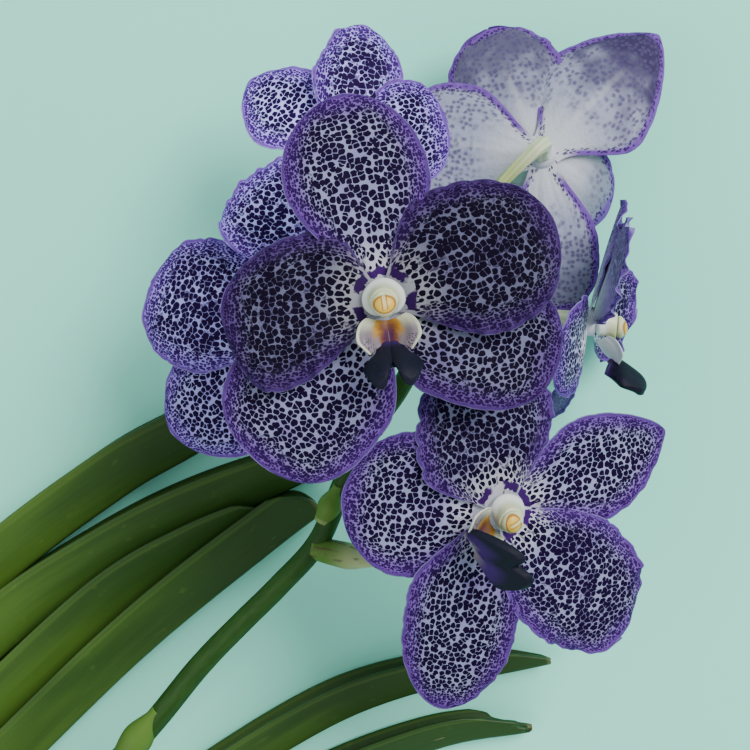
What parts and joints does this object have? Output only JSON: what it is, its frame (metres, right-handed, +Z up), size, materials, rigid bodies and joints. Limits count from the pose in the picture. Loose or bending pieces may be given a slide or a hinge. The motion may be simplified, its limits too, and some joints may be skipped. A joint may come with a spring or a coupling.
{
  "type": "vanda orchid",
  "caption": "Bare vanda orchid lying on its side, with strap leaves in two ranks and a stalk of spotted violet blooms.",
  "frame": {"origin": "on the surface below the middle of the whole plant", "axes": "+Z up off the surface, +Y along the plant's longest extent, towards the end of the flower stalk, +X to the right of the plant as the open blooms are seen from above"},
  "size_m": [0.4722, 0.5262, 0.1396],
  "materials": {
    "leaf_green": "leathery, satin, with fine lengthwise lines",
    "stalk_green": "satin",
    "spotted_violet": "petal, white to lilac with dark violet spots",
    "lip_violet": "velvety, blue-black",
    "cream": "waxy",
    "cap_yellow": "waxy",
    "pedicel_green": "satin, ribbed lengthwise",
    "root_grey": "chalky"
  },
  "bodies": {
    "root": {"back_cap": "cap_yellow", "back_column": "cream", "back_lip": "lip_violet", "back_lobes": "cream", "back_pedicel": "pedicel_green", "back_perianth": "spotted_violet", "front_cap": "cap_yellow", "front_column": "cream", "front_lip": "lip_violet", "front_lobes": "cream", "front_pedicel": "pedicel_green", "front_perianth": "spotted_violet", "leaf_l1": "leaf_green", "leaf_l2": "leaf_green", "leaf_l3": "leaf_green", "leaf_l4": "leaf_green", "leaf_l5": "leaf_green", "leaf_r1": "leaf_green", "leaf_r2": "leaf_green", "leaf_r3": "leaf_green", "leaf_r4": "leaf_green", "leaf_r5": "leaf_green", "leaf_r6": "leaf_green", "left_cap": "cap_yellow", "left_column": "cream", "left_lip": "lip_violet", "left_lobes": "cream", "left_pedicel": "pedicel_green", "left_perianth": "spotted_violet", "low_right_cap": "cap_yellow", "low_right_column": "cream", "low_right_lip": "lip_violet", "low_right_lobes": "cream", "low_right_pedicel": "pedicel_green", "low_right_perianth": "spotted_violet", "root_1": "root_grey", "root_2": "root_grey", "root_3": "root_grey", "side_cap": "cap_yellow", "side_column": "cream", "side_lip": "lip_violet", "side_lobes": "cream", "side_pedicel": "pedicel_green", "side_perianth": "spotted_violet", "spike": "stalk_green", "stem": "leaf_green", "top_cap": "cap_yellow", "top_column": "cream", "top_lip": "lip_violet", "top_lobes": "cream", "top_pedicel": "pedicel_green", "top_perianth": "spotted_violet"}
  },
  "joints": []
}
